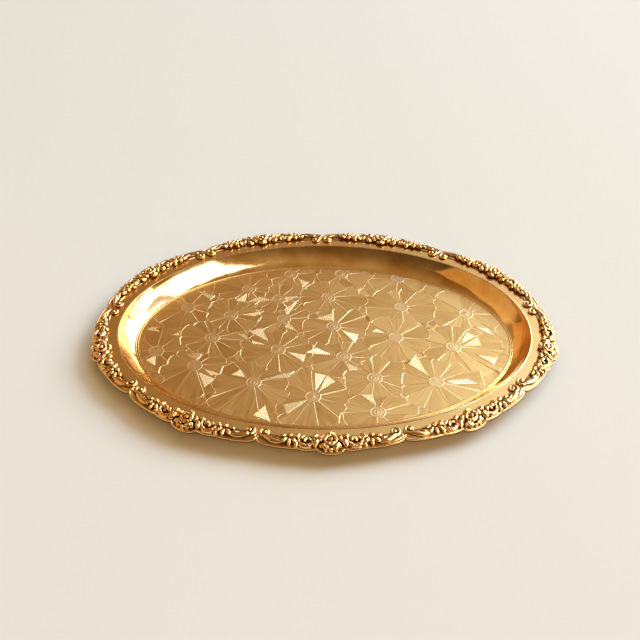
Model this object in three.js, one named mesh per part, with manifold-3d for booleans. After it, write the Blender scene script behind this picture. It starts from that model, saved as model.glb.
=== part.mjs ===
// Oval serving tray: a drawn brass pan with a cast scroll-and-flower border soldered round its flange.
// Millimetres, Z up. The tray stands on the underside of its floor, whose middle is the origin.
// The long axis is X, and the middle of the front is at -Y.
import * as THREE from 'three';
import { mergeVertices } from 'three/addons/utils/BufferGeometryUtils.js';
import Module from 'manifold-3d';

// Pan
const LIP_LENGTH = 292; // long axis of the oval where the wall meets the flange
const LIP_WIDTH = 195; // short axis of that oval
const WELL_DEPTH = 12; // flange down to the floor
const SHEET = 1.2; // thickness of the sheet
const WALL_RUN = 10.2; // how far the hollow wall leans in, seen from above
const WALL_FOOT_SLOPE = 34; // slope of the wall where it leaves the floor, in degrees
const FLOOR_BEAD_WIDTH = 2.6;
const FLOOR_BEAD_HEIGHT = 0.5;
const LIP_BEAD_WIDTH = 1.4;
const LIP_BEAD_HEIGHT = 0.4;
const FLANGE_FLAT = 9; // level part of the flange, outwards from the lip
const FLANGE_WIDTH = 14;
const FLANGE_DROP = 0.5; // fall of the flange from its level part to its edge

// Border: one casting for each repeat of the ornament
const REPEATS = 9;
const SEAT_GAP = 0.3; // solder under a casting
const SEAM_GAP = 0.4; // solder between two castings
const CREST_REACH = 6.9; // reach of the shell at the middle of a casting, past the edge of the flange
const SHOULDER_REACH = 4.2; // reach of the border beside the shell
const SHOULDER_BULGE = 0.7; // how far each shoulder swells out between the shell and the scroll
const NOTCH_REACH = 0.4; // reach of the notch where two castings meet
const SHELL_HALF = 8.6; // half the width of the shell
const SHOULDER_LENGTH = 12.6; // length of a shoulder along the rim
const BAND_INSET_MIDDLE = 7; // inner edge of the border's band, in from the flange's edge, at mid casting
const BAND_INSET_END = 5.2; // the same at the ends of a casting
const BAND_EDGE = 1; // thickness of the band at its edges
const BAND_CROWN = 2.6; // how much thicker the band is along its middle
const FILLET_WIDTH = 1.1; // plain fillet along the outer edge
const FILLET_HEIGHT = 1.5;
const GROOVE_HEIGHT = 0.8; // what is left of the band under the groove beside the fillet

// Ornament on the band: each bloom has a reach along the rim, a reach across it, a height, its lobes
// and the rings of its dome as shares of its reach and height
const DOME = [[1, 0], [0.95, 0.65], [0.5, 1]];
const ROSE = { along: 6.2, across: 5.2, height: 5, lobes: 6, notch: 0.28, rings: DOME };
const ROSE_INSET = 0.6; // middle of the rose, in from the flange's edge
const ROSE_LIFT = 0.9;
const SHELL = { along: 8.2, across: 5.4, height: 3, lobes: 8, notch: 0.16, rings: DOME };
const SHELL_LIFT = 0.8;
const BLOSSOM = { along: 4.9, across: 4.8, height: 4.2, lobes: 5, notch: 0.3, rings: [[1, 0], [0.68, 1]] };
const BLOSSOM_INSET = 1.2; // middle of a blossom, in from the flange's edge
const BLOSSOM_LIFT = 0.4;
const SPRAY_START = 14.6; // from the middle of a casting to the first blossom of each spray
const SPRAY_STEP = 10.6; // from one blossom of a spray to the next
const SPRAY_BLOSSOMS = 2;
const VOLUTE_END = 5.8; // from the end of a casting to the eye of its scroll
const VOLUTE_INSET = 4.8; // eye of the scroll, in from the flange's edge
const VOLUTE_RADIUS = 4.8; // spiral where the scroll leaves the outer edge
const VOLUTE_EYE = 2.2; // radius of the knob that the scroll ends in
const VOLUTE_TURN = 4.2; // how far the scroll curls, in radians
const SCROLL_START_REACH = 1.6; // where the scroll grows out of the last blossom
const SCROLL_TIP = 1; // radius of the scroll at its thin end
const SCROLL_BELLY = 1.8; // radius of the scroll at its thickest

const BRASS = { color: 0xc79a4b, roughness: 0.35, metalness: 1 };
const CAST_BRASS = { color: 0xb8873a, roughness: 0.28, metalness: 1 };

const PAN_STEPS = 60;
const RIGHT_ANGLE = Math.PI / 2;
const lipHeight = SHEET + WELL_DEPTH;
const wallFootSlope = THREE.MathUtils.degToRad(WALL_FOOT_SLOPE);
const wallTopSlope = 2 * Math.atan2(WELL_DEPTH, WALL_RUN) - wallFootSlope;
const volutePlace = FLANGE_WIDTH - VOLUTE_INSET;

const wasm = await Module();
wasm.setup();

// A point of the rim: an angle round the oval, a distance outwards from the lip, and a height.
function rimPoint(angle, out, height) {
  const x = (LIP_LENGTH / 2) * Math.cos(angle);
  const y = (LIP_WIDTH / 2) * Math.sin(angle);
  const outward = new THREE.Vector2(x / LIP_LENGTH ** 2, y / LIP_WIDTH ** 2).normalize();
  return new THREE.Vector3(x + outward.x * out, y + outward.y * out, height);
}

// Top of the flange: level near the lip, then falling away to the edge.
function flangeTop(out) {
  const past = Math.max(0, out - FLANGE_FLAT) / (FLANGE_WIDTH - FLANGE_FLAT);
  return lipHeight - FLANGE_DROP * past ** 2;
}

// The line along the edge of the flange, from the middle of the front, on which the castings are set out.
class BorderLine extends THREE.Curve {
  getPoint(t) {
    return rimPoint(t * 2 * Math.PI - RIGHT_ANGLE, FLANGE_WIDTH, 0);
  }
}
const borderLine = new BorderLine();
borderLine.arcLengthDivisions = 720;
const castingPitch = borderLine.getLength() / REPEATS;
const castingHalf = (castingPitch - SEAM_GAP) / 2;

// A point on the seat of a casting: millimetres along from its middle, out from the lip, and up.
function seatPoint(casting, along, out, lift) {
  const turn = (casting + along / castingPitch) / REPEATS;
  const t = borderLine.getUtoTmapping(turn - Math.floor(turn));
  return rimPoint(t * 2 * Math.PI - RIGHT_ANGLE, out, flangeTop(out) + SEAT_GAP + lift);
}

// A skin through a row of sections with the same number of points, closed at both ends.
function loft(sections) {
  const count = sections[0].length;
  const points = sections.flat();
  const ends = [sections[0], sections.at(-1)];
  for (const end of ends) {
    const middle = new THREE.Vector3();
    end.forEach((point) => middle.addScaledVector(point, 1 / count));
    points.push(middle);
  }
  const first = points.length - 2;
  const last = points.length - 1;
  const faces = [];
  for (let j = 0; j < count; j += 1) {
    const next = (j + 1) % count;
    for (let row = 0; row < sections.length - 1; row += 1) {
      const here = row * count;
      const there = here + count;
      faces.push(here + j, here + next, there + next, here + j, there + next, there + j);
    }
    const end = (sections.length - 1) * count;
    faces.push(first, next, j, last, end + j, end + next);
  }
  const volume = faces.reduce((sum, corner, i) => {
    const [a, b, c] = faces.slice(i, i + 3).map((index) => points[index]);
    return i % 3 ? sum : sum + a.dot(b.clone().cross(c));
  }, 0);
  const geometry = new THREE.BufferGeometry().setFromPoints(points);
  geometry.setIndex(volume < 0 ? faces.reverse() : faces);
  return geometry;
}

function toSolid(geometry) {
  const bare = geometry.clone();
  bare.deleteAttribute('normal');
  bare.deleteAttribute('uv');
  const merged = mergeVertices(bare);
  const vertProperties = merged.attributes.position.array;
  const triVerts = new Uint32Array(merged.index.array);
  return new wasm.Manifold(new wasm.Mesh({ numProp: 3, vertProperties, triVerts }));
}

function toGeometry(solid) {
  const { vertProperties, triVerts } = solid.getMesh();
  const geometry = new THREE.BufferGeometry();
  geometry.setAttribute('position', new THREE.BufferAttribute(vertProperties, 3));
  geometry.setIndex(new THREE.BufferAttribute(triVerts, 1));
  return geometry;
}

function named(name, geometry, finish) {
  geometry.computeVertexNormals();
  const mesh = new THREE.Mesh(geometry, new THREE.MeshStandardMaterial(finish));
  mesh.name = name;
  return mesh;
}

// Pan

// A point of the hollow wall, at a share of its round, or of its back when a thickness is given.
function wallPoint(share, thickness) {
  const slope = THREE.MathUtils.lerp(wallFootSlope, wallTopSlope, share);
  const radius = WALL_RUN / (Math.sin(wallTopSlope) - Math.sin(wallFootSlope));
  const out = radius * (Math.sin(slope) - Math.sin(wallTopSlope));
  const height = SHEET + radius * (Math.cos(wallFootSlope) - Math.cos(slope));
  return [out + thickness * Math.sin(slope), height - thickness * Math.cos(slope)];
}

// A round bead, as the points of its section between two edges.
function beadSection(from, width, height, base) {
  return [0.3, 0.7].map((share) => [from + width * share, base + height]);
}

function makePan() {
  const floorEdge = -WALL_RUN - FLOOR_BEAD_WIDTH;
  const flangeMiddle = (FLANGE_FLAT + FLANGE_WIDTH) / 2;
  const top = [
    [floorEdge, SHEET],
    ...beadSection(floorEdge, FLOOR_BEAD_WIDTH, FLOOR_BEAD_HEIGHT, SHEET),
    ...[0, 0.35, 0.7, 1].map((share) => wallPoint(share, 0)),
    ...beadSection(0, LIP_BEAD_WIDTH, LIP_BEAD_HEIGHT, lipHeight),
    [LIP_BEAD_WIDTH, lipHeight],
    ...[FLANGE_FLAT, flangeMiddle, FLANGE_WIDTH].map((out) => [out, flangeTop(out)]),
  ];
  const back = [
    ...[FLANGE_WIDTH, flangeMiddle, FLANGE_FLAT].map((out) => [out, flangeTop(out) - SHEET]),
    [SHEET, lipHeight - SHEET],
    ...[0.7, 0.35].map((share) => wallPoint(share, SHEET)),
    [-WALL_RUN + SHEET * Math.tan(wallFootSlope / 2), 0],
  ];
  const rings = [...top, ...back].map(([out, height]) => {
    const ring = [];
    for (let step = 0; step < PAN_STEPS; step += 1) {
      ring.push(rimPoint((step / PAN_STEPS) * 2 * Math.PI, out, height));
    }
    return ring;
  });
  return loft(rings);
}

// Border castings

// Outer edge of a casting: a shell at the middle, a swelling shoulder, then an arm down to the notch.
function bandOut(along) {
  const far = Math.abs(along);
  const shoulderEnd = SHELL_HALF + SHOULDER_LENGTH;
  if (far < SHELL_HALF) {
    const bulge = Math.sqrt(1 - (far / SHELL_HALF) ** 2);
    return FLANGE_WIDTH + THREE.MathUtils.lerp(SHOULDER_REACH, CREST_REACH, bulge);
  }
  if (far < shoulderEnd) {
    const share = (far - SHELL_HALF) / SHOULDER_LENGTH;
    return FLANGE_WIDTH + SHOULDER_REACH + SHOULDER_BULGE * Math.sin(share * Math.PI);
  }
  const share = Math.min(1, (far - shoulderEnd) / (castingHalf - shoulderEnd));
  return FLANGE_WIDTH + THREE.MathUtils.lerp(NOTCH_REACH, SHOULDER_REACH, Math.sqrt(1 - share ** 3));
}

function bandIn(along) {
  const inset = THREE.MathUtils.lerp(BAND_INSET_MIDDLE, BAND_INSET_END, Math.abs(along) / castingHalf);
  return FLANGE_WIDTH - inset;
}

// Places along a casting where its band is measured, closer together where the outline bends.
function bandStations() {
  const shoulderEnd = SHELL_HALF + SHOULDER_LENGTH;
  const half = [SHELL_HALF * 0.75, SHELL_HALF, (SHELL_HALF + shoulderEnd) / 2, shoulderEnd];
  half.push(THREE.MathUtils.lerp(shoulderEnd, castingHalf, 0.7), castingHalf);
  return [...half.map((along) => -along).reverse(), 0, ...half];
}

// The band under the ornament: domed, with a groove and a plain fillet along its outer edge.
function makeBand(casting) {
  const sections = bandStations().map((along) => {
    const inner = bandIn(along);
    const outer = bandOut(along);
    const groove = outer - 2 * FILLET_WIDTH;
    const point = (out, lift) => seatPoint(casting, along, out, lift);
    const dome = [0, 0.5].map((share) => {
      const lift = BAND_EDGE + BAND_CROWN * 4 * share * (1 - share);
      return point(THREE.MathUtils.lerp(inner, groove, share), lift);
    });
    const back = [1, 0.45, 0].map((share) => point(THREE.MathUtils.lerp(inner, outer, share), 0));
    return [
      ...dome,
      point(groove, GROOVE_HEIGHT),
      point(outer - FILLET_WIDTH / 2, FILLET_HEIGHT),
      point(outer, GROOVE_HEIGHT),
      ...back,
    ];
  });
  return toSolid(loft(sections));
}

// The frame of a piece of ornament that lies on the seat: along the rim, inwards across it, and up.
function seatFrame(casting, along, out, lift) {
  const reach = 0.5;
  const place = seatPoint(casting, along, out, lift);
  const ahead = seatPoint(casting, along + reach, out, lift).sub(place).normalize();
  const outward = seatPoint(casting, along, out + reach, lift).sub(place).normalize();
  const up = outward.cross(ahead).normalize();
  return new THREE.Matrix4().makeBasis(ahead, up.clone().cross(ahead), up).setPosition(place);
}

// A flower head or shell: a lobed dome with one lobe straight outwards.
function makeBloom(casting, along, out, lift, bloom) {
  const frame = seatFrame(casting, along, out, lift);
  const rings = bloom.rings.map(([width, height]) => {
    const ring = [];
    for (let corner = 0; corner < 2 * bloom.lobes; corner += 1) {
      const turn = (corner / bloom.lobes) * Math.PI - RIGHT_ANGLE;
      const radius = width * (corner % 2 ? 1 - bloom.notch : 1);
      const x = bloom.along * radius * Math.cos(turn);
      const y = bloom.across * radius * Math.sin(turn);
      ring.push(new THREE.Vector3(x, y, bloom.height * height).applyMatrix4(frame));
    }
    return ring;
  });
  return toSolid(loft(rings));
}

// The line of a scroll, as places along and out: along the outer edge, then curling in to the eye.
function scrollLine() {
  const eyeAlong = castingHalf - VOLUTE_END;
  const start = SPRAY_START + SPRAY_STEP * (SPRAY_BLOSSOMS - 1);
  const runSteps = 3;
  const curlSteps = 5;
  const line = [];
  for (let step = 0; step < runSteps; step += 1) {
    const share = step / runSteps;
    const rise = Math.sin(share * RIGHT_ANGLE);
    const out = THREE.MathUtils.lerp(FLANGE_WIDTH + SCROLL_START_REACH, volutePlace + VOLUTE_RADIUS, rise);
    line.push([THREE.MathUtils.lerp(start, eyeAlong, share), out]);
  }
  for (let step = 0; step <= curlSteps; step += 1) {
    const share = step / curlSteps;
    const turn = RIGHT_ANGLE - VOLUTE_TURN * share;
    const radius = VOLUTE_RADIUS * (1 - share ** 2);
    line.push([eyeAlong + radius * Math.cos(turn), volutePlace + radius * Math.sin(turn)]);
  }
  return line;
}

// A scroll that swells from the last blossom and lies on the band, then on the flange where it curls in.
function makeScroll(casting, side) {
  const points = scrollLine().map(([along, out]) => {
    const share = THREE.MathUtils.clamp((out - volutePlace) / VOLUTE_RADIUS, 0, 1);
    const lift = THREE.MathUtils.lerp(VOLUTE_EYE, BAND_CROWN, share);
    return seatPoint(casting, side * along, out, lift);
  });
  const sides = 4;
  const sections = points.map((point, index) => {
    const before = points[Math.max(0, index - 1)];
    const after = points[Math.min(points.length - 1, index + 1)];
    const forward = after.clone().sub(before).normalize();
    const across = new THREE.Vector3(-forward.y, forward.x, 0).normalize();
    const up = forward.clone().cross(across);
    const share = index / (points.length - 1);
    const body = THREE.MathUtils.lerp(SCROLL_TIP, SCROLL_BELLY, Math.sin(share * Math.PI));
    const radius = share < 1 ? body : VOLUTE_EYE;
    const section = [];
    for (let corner = 0; corner < sides; corner += 1) {
      const turn = (corner / sides) * 2 * Math.PI + RIGHT_ANGLE;
      const spoke = across.clone().multiplyScalar(radius * Math.cos(turn));
      section.push(point.clone().add(spoke).addScaledVector(up, radius * Math.sin(turn)));
    }
    return section;
  });
  return toSolid(loft(sections));
}

function makeCasting(casting) {
  const pieces = [
    makeBloom(casting, 0, FLANGE_WIDTH + CREST_REACH - FILLET_WIDTH - SHELL.across, SHELL_LIFT, SHELL),
    makeBloom(casting, 0, FLANGE_WIDTH - ROSE_INSET, ROSE_LIFT, ROSE),
  ];
  for (const side of [-1, 1]) {
    for (let blossom = 0; blossom < SPRAY_BLOSSOMS; blossom += 1) {
      const along = side * (SPRAY_START + SPRAY_STEP * blossom);
      pieces.push(makeBloom(casting, along, FLANGE_WIDTH - BLOSSOM_INSET, BLOSSOM_LIFT, BLOSSOM));
    }
    pieces.push(makeScroll(casting, side));
  }
  return toGeometry(pieces.reduce((sum, piece) => sum.add(piece), makeBand(casting)));
}

const tray = new THREE.Group();
tray.name = 'tray';
tray.add(named('pan', makePan(), BRASS));
for (let casting = 0; casting < REPEATS; casting += 1) {
  tray.add(named(`border_casting_${casting + 1}`, makeCasting(casting), CAST_BRASS));
}

export default tray;
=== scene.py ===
import math
import random

import bpy
import numpy as np
from mathutils import Matrix, Vector
from mathutils.geometry import delaunay_2d_cdt


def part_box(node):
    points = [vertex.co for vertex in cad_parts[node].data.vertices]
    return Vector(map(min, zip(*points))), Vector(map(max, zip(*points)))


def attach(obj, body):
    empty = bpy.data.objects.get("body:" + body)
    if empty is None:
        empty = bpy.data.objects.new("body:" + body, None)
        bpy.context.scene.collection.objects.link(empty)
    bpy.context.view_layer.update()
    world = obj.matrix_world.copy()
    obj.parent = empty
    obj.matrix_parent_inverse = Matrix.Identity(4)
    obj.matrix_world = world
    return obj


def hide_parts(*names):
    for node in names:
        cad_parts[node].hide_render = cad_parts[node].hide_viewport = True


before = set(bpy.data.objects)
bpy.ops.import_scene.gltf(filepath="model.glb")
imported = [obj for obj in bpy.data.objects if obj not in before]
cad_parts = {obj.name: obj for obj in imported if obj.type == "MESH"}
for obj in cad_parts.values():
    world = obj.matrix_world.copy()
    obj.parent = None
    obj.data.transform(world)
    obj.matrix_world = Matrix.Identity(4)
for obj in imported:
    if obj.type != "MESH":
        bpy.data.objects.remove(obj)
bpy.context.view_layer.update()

# Pan: one oval of brass sheet pressed into a shallow well with a level flange, then gilded.
# It is drawn ring by ring, from the edge of the floor over two low beads, up the hollow wall, over the lip,
# out along the flange and back underneath.
MM = 0.001
RING = 288
SHEET = 1.2 * MM
FLANGE_FLAT = 9 * MM
FLANGE_WIDTH = 14 * MM
FLANGE_DROP = 0.5 * MM
FLANGE_RINGS = (3, 5, 7, 9, 10.5, 12, 13.2, 14)
BACK_RINGS = (14, 12, 10, 8, 5, 2, 1.2)
WALL_RUN = 10.2 * MM
WALL_FOOT_SLOPE = math.radians(34)
WALL_STEPS = 12
BACK_WALL_STEPS = 8
FOOT_WIDTH = 2.6 * MM
FOOT_BEAD_HEIGHT = 0.3 * MM
INNER_BEAD = 0.6 * MM
OUTER_BEAD = 0.55 * MM
OUTER_BEAD_PLACE = 2 * MM
FOOT_GROOVE = (1.25 * MM, 1.4 * MM)
LIP_BEAD = 0.7 * MM
LIP_BEAD_HEIGHT = 0.4 * MM
BEAD_STEPS = 6
SHARP_EDGE = math.radians(32)
pan_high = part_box("pan")[1]
LIP_X = pan_high.x - FLANGE_WIDTH
LIP_Y = pan_high.y - FLANGE_WIDTH
LIP_HEIGHT = pan_high.z - LIP_BEAD_HEIGHT
FLOOR_OUT = -WALL_RUN - FOOT_WIDTH
WALL_TOP_SLOPE = 2 * math.atan2(LIP_HEIGHT - SHEET, WALL_RUN) - WALL_FOOT_SLOPE


def flange_top(out):
    """Height of the flange at a distance out from the lip: level, then falling to its edge."""
    past = np.maximum(0, out - FLANGE_FLAT) / (FLANGE_WIDTH - FLANGE_FLAT)
    return LIP_HEIGHT - FLANGE_DROP * past ** 2


def round_bead(middle, radius, height, base):
    """The points of a half round bead, from its inner side to its outer side."""
    turns = [math.pi * (1 - step / BEAD_STEPS) for step in range(1, BEAD_STEPS)]
    return [(middle + radius * math.cos(turn), base + height * math.sin(turn)) for turn in turns]


def wall_point(share, thickness):
    """A point of the hollow wall, from its foot at 0 to the lip at 1, a thickness under its face."""
    slope = WALL_FOOT_SLOPE + (WALL_TOP_SLOPE - WALL_FOOT_SLOPE) * share
    radius = WALL_RUN / (math.sin(WALL_TOP_SLOPE) - math.sin(WALL_FOOT_SLOPE))
    out = radius * (math.sin(slope) - math.sin(WALL_TOP_SLOPE))
    height = SHEET + radius * (math.cos(WALL_FOOT_SLOPE) - math.cos(slope))
    return out + thickness * math.sin(slope), height - thickness * math.cos(slope)


foot = round_bead(FLOOR_OUT + INNER_BEAD, INNER_BEAD, FOOT_BEAD_HEIGHT, SHEET)
foot += [(FLOOR_OUT + out, SHEET) for out in FOOT_GROOVE]
foot += round_bead(FLOOR_OUT + OUTER_BEAD_PLACE, OUTER_BEAD, FOOT_BEAD_HEIGHT, SHEET)
wall = [wall_point(step / WALL_STEPS, 0) for step in range(WALL_STEPS + 1)]
lip = round_bead(LIP_BEAD, LIP_BEAD, LIP_BEAD_HEIGHT, LIP_HEIGHT) + [(2 * LIP_BEAD, LIP_HEIGHT)]
flange = [(out * MM, flange_top(out * MM)) for out in FLANGE_RINGS]
back = [(out * MM, flange_top(out * MM) - SHEET) for out in BACK_RINGS]
back += [wall_point(1 - step / BACK_WALL_STEPS, SHEET) for step in range(BACK_WALL_STEPS)]
back += [(SHEET * math.tan(WALL_FOOT_SLOPE / 2) - WALL_RUN, 0)]
profile = [(FLOOR_OUT, SHEET)] + foot + wall + lip + flange + back

bpy.ops.object.select_all(action="DESELECT")
bpy.ops.mesh.primitive_circle_add(vertices=RING, radius=1)
pan = bpy.context.object
pan.name = "gilt_pan"
bpy.ops.object.mode_set(mode="EDIT")
bpy.ops.mesh.select_all(action="SELECT")
bpy.ops.transform.resize(value=(LIP_X + FLOOR_OUT, LIP_Y + FLOOR_OUT, 1), center_override=(0, 0, 0))
bpy.ops.transform.translate(value=(0, 0, SHEET))
for (out, height), (next_out, next_height) in zip(profile, profile[1:]):
    bpy.ops.mesh.extrude_region_move(TRANSFORM_OT_translate={"value": (0, 0, next_height - height)})
    widen = ((LIP_X + next_out) / (LIP_X + out), (LIP_Y + next_out) / (LIP_Y + out), 1)
    bpy.ops.transform.resize(value=widen, center_override=(0, 0, 0))
bpy.ops.mesh.edge_face_add()
bpy.ops.object.mode_set(mode="OBJECT")

FLOOR_SLOT, WALL_SLOT, FLANGE_SLOT = 0, 1, 2
ring_slots = [FLANGE_SLOT] * len(foot) + [WALL_SLOT] * (len(wall) + len(lip))
ring_slots += [FLANGE_SLOT] * (len(profile) - 1 - len(ring_slots))
face_slots = np.repeat(ring_slots, RING).tolist()
face_slots += [FLANGE_SLOT] * (len(pan.data.polygons) - len(face_slots))


def gilt_material(name):
    """A new metal material, still to be given its colour, roughness and relief."""
    material = bpy.data.materials.new(name)
    material.use_nodes = True
    material.node_tree.nodes["Principled BSDF"].inputs["Metallic"].default_value = 1
    return material


for finish in ("engraved_gilt", "polished_gilt", "brushed_gilt"):
    pan.data.materials.append(gilt_material(finish))
pan.data.polygons.foreach_set("material_index", face_slots)
bpy.ops.object.shade_smooth_by_angle(angle=SHARP_EDGE)

# Gilding: thin gold over the brass, warm and slightly cloudy.
# The wear group gives the clouds, which the sheet and the castings share.
GOLD = (0.84, 0.49, 0.155, 1)
GOLD_PALE = (0.97, 0.69, 0.33, 1)
GOLD_DEEP = (0.70, 0.37, 0.095, 1)
CLOUD_SCALE = 40


def add_node(tree, kind, **settings):
    """A new node with its settings."""
    made = tree.nodes.new(kind)
    for name, value in settings.items():
        setattr(made, name, value)
    return made


def put(tree, value, socket):
    """Give an input what it needs: a socket is linked, a number or a colour is set."""
    if isinstance(value, bpy.types.NodeSocket):
        tree.links.new(value, socket)
    else:
        socket.default_value = value


def feed(tree, value, name):
    """Link a socket to a named input of the material's shader."""
    tree.links.new(value, tree.nodes["Principled BSDF"].inputs[name])


def mix_colour(tree, factor, first, second):
    """A mix of two colours or sockets."""
    made = add_node(tree, "ShaderNodeMix", data_type="RGBA")
    for value, socket in ((factor, made.inputs[0]), (first, made.inputs[6]), (second, made.inputs[7])):
        put(tree, value, socket)
    return made.outputs[2]


def sum_of(tree, operation, first, second, third=0.0):
    """A sum of numbers or sockets, by one math node."""
    made = add_node(tree, "ShaderNodeMath", operation=operation)
    for value, socket in zip((first, second, third), made.inputs):
        put(tree, value, socket)
    return made.outputs[0]


def noise_on(tree, place, scale, detail, **settings):
    """A noise pattern on a place given by a socket."""
    made = add_node(tree, "ShaderNodeTexNoise", **settings)
    put(tree, scale, made.inputs["Scale"])
    made.inputs["Detail"].default_value = detail
    tree.links.new(place, made.inputs["Vector"])
    return made.outputs["Fac"]


def stretched(tree, place, scale):
    """A place stretched along its axes."""
    made = add_node(tree, "ShaderNodeMapping")
    made.inputs["Scale"].default_value = scale
    tree.links.new(place, made.inputs["Vector"])
    return made.outputs["Vector"]


def add_bump(tree, height, strength, distance):
    """A fine relief from a height, on the material's shader."""
    made = add_node(tree, "ShaderNodeBump")
    made.inputs["Strength"].default_value = strength
    made.inputs["Distance"].default_value = distance
    tree.links.new(height, made.inputs["Height"])
    feed(tree, made.outputs["Normal"], "Normal")


wear = bpy.data.node_groups.new("gilt_wear", "ShaderNodeTree")
wear.interface.new_socket("Scale", in_out="INPUT", socket_type="NodeSocketFloat")
wear.interface.new_socket("Cloud", in_out="OUTPUT", socket_type="NodeSocketFloat")
wear_in = add_node(wear, "NodeGroupInput")
wear_out = add_node(wear, "NodeGroupOutput")
wear_place = add_node(wear, "ShaderNodeTexCoord")
clouds = noise_on(wear, wear_place.outputs["Object"], wear_in.outputs["Scale"], detail=4)
wear.links.new(clouds, wear_out.inputs["Cloud"])


def cloud_of(tree):
    """The clouds of the wear group, placed in a material."""
    worn = add_node(tree, "ShaderNodeGroup", node_tree=wear)
    worn.inputs["Scale"].default_value = CLOUD_SCALE
    return worn.outputs["Cloud"]


# Polished wall and lip: burnished bright after the gilding, and slightly wavy where the sheet was drawn.
# A tone or a roughness is a pair: how much its pattern changes it, and what it is without the pattern.
WALL_TONE = (3.0, -0.9)
WALL_ROUGHNESS = (0.12, 0.06)
WAVE_SCALE = 45
WAVE_STRETCH = (1, 1, 0.15)
WAVE_STRENGTH = 0.4
WAVE_DEPTH = 2 * MM
tree = pan.data.materials[WALL_SLOT].node_tree
cloud = cloud_of(tree)
streak = sum_of(tree, "MULTIPLY_ADD", cloud, *WALL_TONE)
feed(tree, mix_colour(tree, streak, GOLD_DEEP, GOLD_PALE), "Base Color")
feed(tree, sum_of(tree, "MULTIPLY_ADD", cloud, *WALL_ROUGHNESS), "Roughness")
wall_place = add_node(tree, "ShaderNodeTexCoord").outputs["Object"]
waves = noise_on(tree, stretched(tree, wall_place, WAVE_STRETCH), WAVE_SCALE, detail=1)
add_bump(tree, waves, WAVE_STRENGTH, WAVE_DEPTH)

# Flange, foot beads and back: left satin by the brush, with short strokes that run across the rim.
# The strokes follow the angle round the oval.
BRUSH_STROKES = 90
BRUSH_RUN = 40
BRUSH_TONE = 0.5
CLOUD_TONE = 1.1
BRUSH_ROUGHNESS = (0.08, 0.24)
tree = pan.data.materials[FLANGE_SLOT].node_tree
rim_place = add_node(tree, "ShaderNodeTexCoord")
rim_parts = add_node(tree, "ShaderNodeSeparateXYZ")
tree.links.new(rim_place.outputs["Object"], rim_parts.inputs["Vector"])
rim_angle = sum_of(tree, "ARCTAN2", sum_of(tree, "DIVIDE", rim_parts.outputs["Y"], LIP_Y),
                   sum_of(tree, "DIVIDE", rim_parts.outputs["X"], LIP_X))
brush_turn = sum_of(tree, "MULTIPLY", sum_of(tree, "ABSOLUTE", rim_angle, 0), BRUSH_STROKES)
brush_run = sum_of(tree, "MULTIPLY", rim_parts.outputs["Y"], BRUSH_RUN)
brush_place = add_node(tree, "ShaderNodeCombineXYZ")
tree.links.new(brush_turn, brush_place.inputs["X"])
tree.links.new(brush_run, brush_place.inputs["Y"])
brush = noise_on(tree, brush_place.outputs["Vector"], 1, detail=3)
satin = sum_of(tree, "MULTIPLY", cloud_of(tree), CLOUD_TONE)
satin = sum_of(tree, "MULTIPLY_ADD", brush, BRUSH_TONE, satin)
feed(tree, mix_colour(tree, satin, GOLD_DEEP, GOLD), "Base Color")
feed(tree, sum_of(tree, "MULTIPLY_ADD", brush, *BRUSH_ROUGHNESS), "Roughness")

# Floor of the pan: daisies chased into the sheet, each petal a slightly tilted field between raised lines.
# The flowers lie over each other, and facets with finely hatched cuts, painted bright, are set among their
# petals.
FLOWERS = (
    # middle of the flower in millimetres, number of petals and kind of eye, the flower on top first
    (-34, -9.5, 11, "dot"), (6.5, 15.5, 11, "ring"), (-50.5, -43, 10, "ring"), (51, 3.5, 10, "plain"),
    (-69, 28, 11, "ring"), (75.5, -43, 11, "plain"), (92, -7, 11, "ring"), (3.5, 49, 11, "ring"),
    (-10, -57, 11, "dot"), (-81.5, 3, 12, "ring"), (33, -39, 10, "ring"), (-92, -26, 10, "plain"),
    (12.5, -17, 10, "ring"), (58, 37.5, 11, "plain"), (33, -72, 9, "ring"), (-56.5, 59, 10, "ring"),
    (106, 30, 10, "dot"), (-33.5, 47.5, 9, "dot"), (-30, 24, 10, "plain"), (-24.5, 77, 9, "dot"),
    (14.5, 77.5, 8, "dot"), (-120, -11, 8, "plain"), (58, 72, 8, "plain"), (-101, 37, 9, "plain"),
)
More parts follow.
